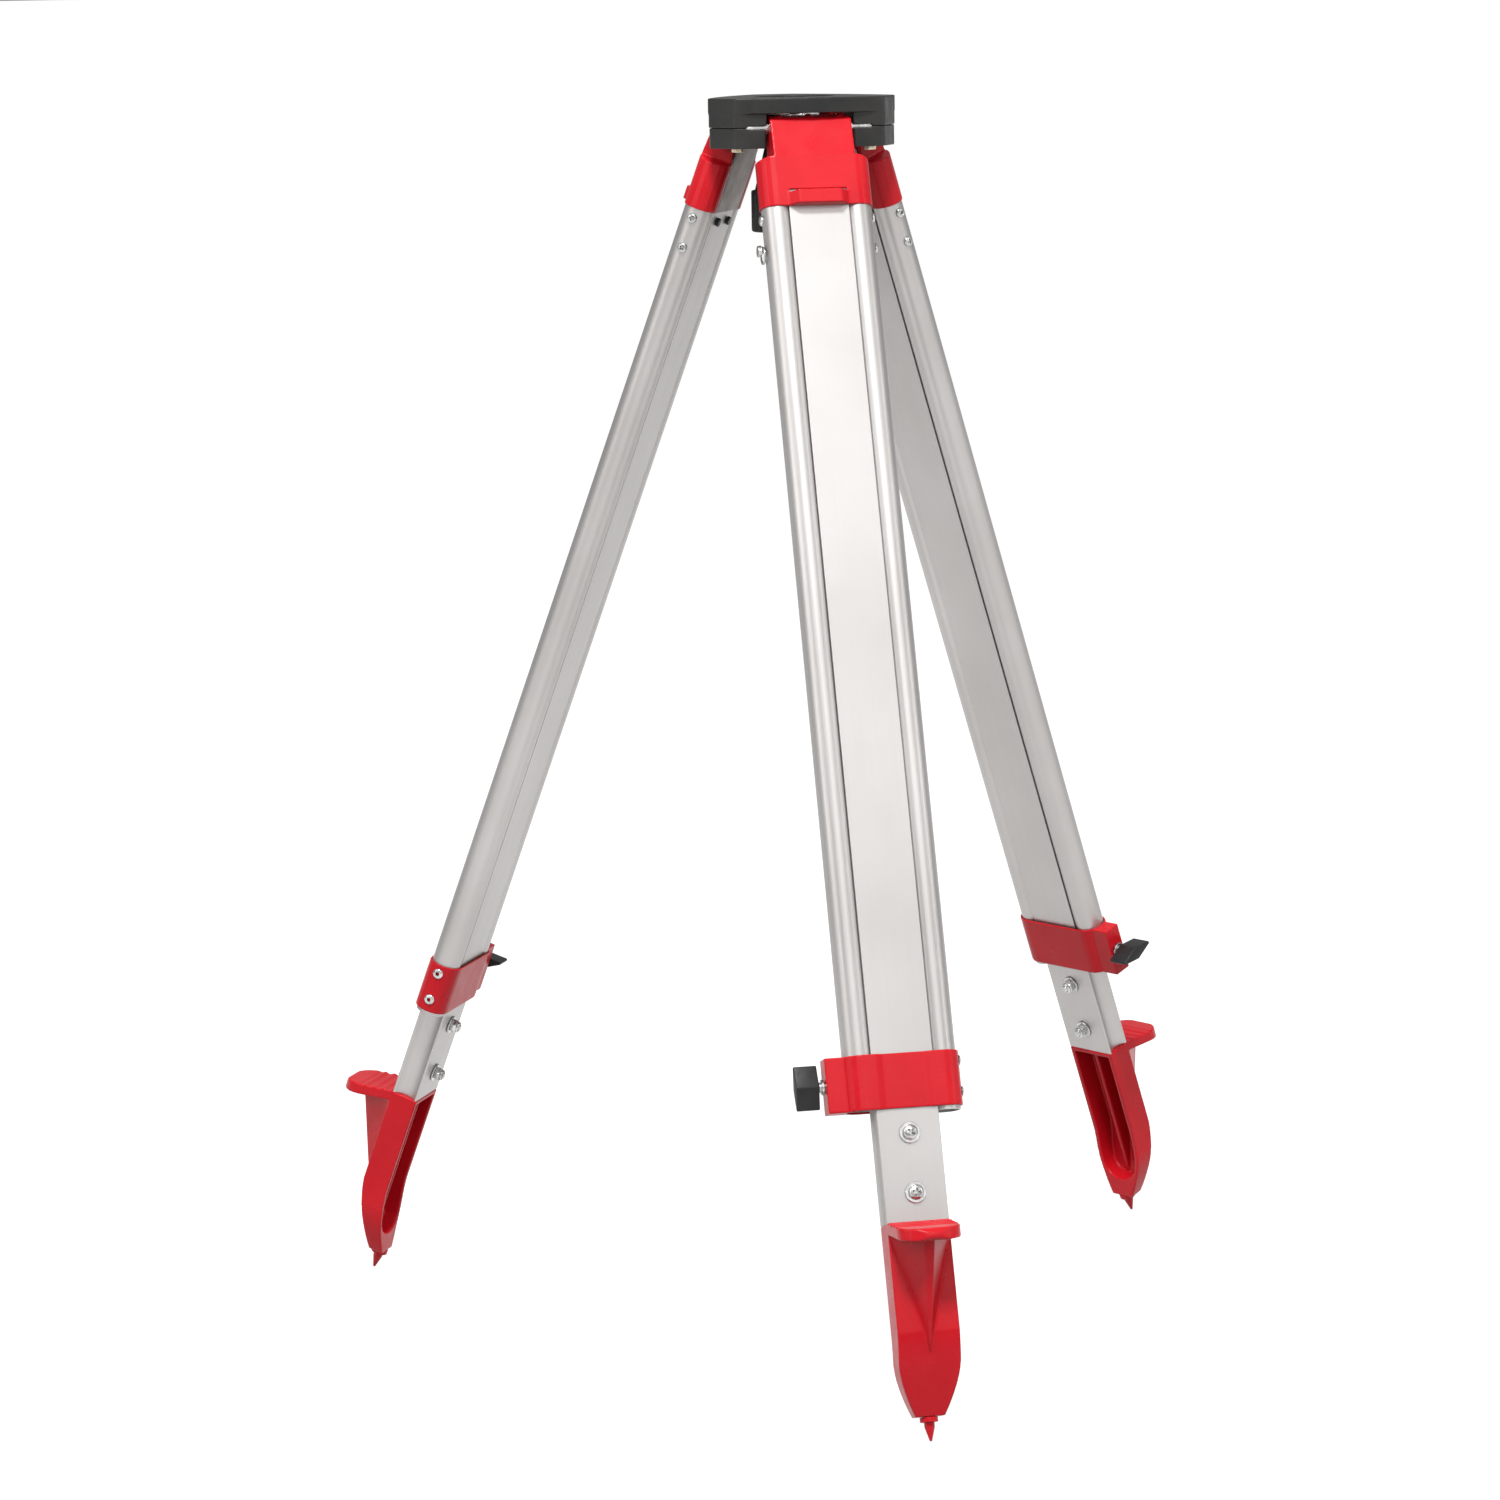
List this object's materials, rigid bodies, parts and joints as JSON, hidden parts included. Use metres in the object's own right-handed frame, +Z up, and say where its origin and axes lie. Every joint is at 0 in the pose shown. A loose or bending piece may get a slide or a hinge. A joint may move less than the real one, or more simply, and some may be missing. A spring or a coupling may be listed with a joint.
{
  "type": "surveyor tripod",
  "caption": "Surveyor's tripod with telescoping tubular legs, side clamp screws, pedal feet, and a flat head with a captive centre screw on a swing arm.",
  "frame": {"origin": "on the ground between the three spike tips, at the centre of the bounding box", "axes": "+Z up along the head axis; -Y towards leg a, so legs b and c stand at +Y; +X to the right when leg a faces the viewer"},
  "size_m": [0.7152, 0.6406, 0.9866],
  "materials": {
    "black_casting": "satin black paint over a cast aluminium head",
    "red_paint": "gloss red powder coat over cast aluminium",
    "aluminium": "satin, drawn along its length",
    "zinc": "bright zinc plate",
    "yellow_zinc": "yellow passivated zinc plate",
    "brass": "turned",
    "black_plastic": "satin moulded"
  },
  "bodies": {
    "head": {"head_plate": "black_casting", "bearing_cap_1": "black_casting", "bearing_cap_2": "black_casting", "bearing_cap_3": "black_casting", "cap_bolt_1": "yellow_zinc", "cap_bolt_2": "yellow_zinc", "cap_bolt_3": "yellow_zinc", "hinge_shaft_a": "zinc", "hinge_shaft_b": "zinc", "hinge_shaft_c": "zinc", "arm_pivot": "zinc"},
    "arm": {"swing_arm": "zinc"},
    "bush": {"slide_bush": "zinc"},
    "washer": {"thrust_washer": "zinc"},
    "screw": {"centre_screw": "brass", "screw_knob": "black_plastic"},
    "upper_a": {"bracket_a": "red_paint", "back_plate_a": "aluminium", "clamp_side_tube_a": "aluminium", "rivet_side_tube_a": "aluminium", "clamp_band_a": "red_paint", "ring_screw": "zinc"},
    "pad_a": {"clamp_pad_a": "zinc"},
    "clamp_a": {"clamp_screw_a": "zinc", "clamp_knob_a": "black_plastic"},
    "lower_a": {"lower_leg_a": "aluminium", "slide_stop_a": "black_plastic", "foot_a": "red_paint", "spike_a": "red_paint", "foot_bolt_upper_a": "zinc", "foot_bolt_lower_a": "zinc"},
    "upper_b": {"bracket_b": "red_paint", "back_plate_b": "aluminium", "clamp_side_tube_b": "aluminium", "rivet_side_tube_b": "aluminium", "clamp_band_b": "red_paint"},
    "pad_b": {"clamp_pad_b": "zinc"},
    "clamp_b": {"clamp_screw_b": "zinc", "clamp_knob_b": "black_plastic"},
    "lower_b": {"lower_leg_b": "aluminium", "slide_stop_b": "black_plastic", "foot_b": "red_paint", "spike_b": "red_paint", "foot_bolt_upper_b": "zinc", "foot_bolt_lower_b": "zinc"},
    "upper_c": {"bracket_c": "red_paint", "back_plate_c": "aluminium", "clamp_side_tube_c": "aluminium", "rivet_side_tube_c": "aluminium", "clamp_band_c": "red_paint"},
    "pad_c": {"clamp_pad_c": "zinc"},
    "clamp_c": {"clamp_screw_c": "zinc", "clamp_knob_c": "black_plastic"},
    "lower_c": {"lower_leg_c": "aluminium", "slide_stop_c": "black_plastic", "foot_c": "red_paint", "spike_c": "red_paint", "foot_bolt_upper_c": "zinc", "foot_bolt_lower_c": "zinc"},
    "strap_ring": {"strap_ring": "zinc"}
  },
  "joints": [
    {"name": "arm_swing", "type": "hinge", "parent": "head", "child": "arm", "pos_m": [0.02382, 0.11811, 0.97464], "axis": [0, 0, 1], "range_deg": [0, 16]},
    {"name": "screw_slide", "type": "slide", "parent": "arm", "child": "bush", "axis": [0.712, 0.7022, 0], "range_m": [0, 0.038]},
    {"name": "screw_lift", "type": "slide", "parent": "bush", "child": "washer", "axis": [0, 0, 1], "range_m": [0, 0.0108]},
    {"name": "screw_turn", "type": "hinge", "parent": "washer", "child": "screw", "pos_m": [-0.01819, 0.07668, 0.96364], "axis": [0, 0, 1], "continuous": true},
    {"name": "leg_fold_a", "type": "hinge", "parent": "head", "child": "upper_a", "pos_m": [0, 0.04118, 0.96364], "axis": [-1, 0, 0], "range_deg": [-20.5, 12]},
    {"name": "leg_slide_a", "type": "slide", "parent": "upper_a", "child": "lower_a", "axis": [0, -0.3502, -0.9367], "range_m": [0, 0.65]},
    {"name": "clamp_pad_slide_a", "type": "slide", "parent": "upper_a", "child": "pad_a", "axis": [-1, 0, 0], "range_m": [0, 0.00187]},
    {"name": "clamp_turn_a", "type": "hinge", "parent": "pad_a", "child": "clamp_a", "pos_m": [-0.0625, -0.22165, 0.2564], "axis": [-1, 0, 0], "range_deg": [0, 540]},
    {"name": "leg_fold_b", "type": "hinge", "parent": "head", "child": "upper_b", "pos_m": [-0.03984, 0.11018, 0.96364], "axis": [0.5, 0.866, 0], "range_deg": [-20.5, 12]},
    {"name": "leg_slide_b", "type": "slide", "parent": "upper_b", "child": "lower_b", "axis": [-0.3033, 0.1751, -0.9367], "range_m": [0, 0.65]},
    {"name": "clamp_pad_slide_b", "type": "slide", "parent": "upper_b", "child": "pad_b", "axis": [0.5, 0.866, 0], "range_m": [0, 0.00187]},
    {"name": "clamp_turn_b", "type": "hinge", "parent": "pad_b", "child": "clamp_b", "pos_m": [-0.2362, 0.29572, 0.2564], "axis": [0.5, 0.866, 0], "range_deg": [0, 540]},
    {"name": "leg_fold_c", "type": "hinge", "parent": "head", "child": "upper_c", "pos_m": [0.03984, 0.11018, 0.96364], "axis": [0.5, -0.866, 0], "range_deg": [-20.5, 12]},
    {"name": "leg_slide_c", "type": "slide", "parent": "upper_c", "child": "lower_c", "axis": [0.3033, 0.1751, -0.9367], "range_m": [0, 0.65]},
    {"name": "clamp_pad_slide_c", "type": "slide", "parent": "upper_c", "child": "pad_c", "axis": [0.5, -0.866, 0], "range_m": [0, 0.00187]},
    {"name": "clamp_turn_c", "type": "hinge", "parent": "pad_c", "child": "clamp_c", "pos_m": [0.2987, 0.18747, 0.2564], "axis": [0.5, -0.866, 0], "range_deg": [0, 540]},
    {"name": "ring_swing", "type": "hinge", "parent": "upper_a", "child": "strap_ring", "pos_m": [-0.0457, 0.00592, 0.86932], "axis": [-1, 0, 0], "continuous": true}
  ],
  "couplings": [
    {"joint": "clamp_turn_a", "follows": "clamp_pad_slide_a", "rad_per_m": 5026.5},
    {"joint": "clamp_turn_b", "follows": "clamp_pad_slide_b", "rad_per_m": 5026.5},
    {"joint": "clamp_turn_c", "follows": "clamp_pad_slide_c", "rad_per_m": 5026.5}
  ]
}
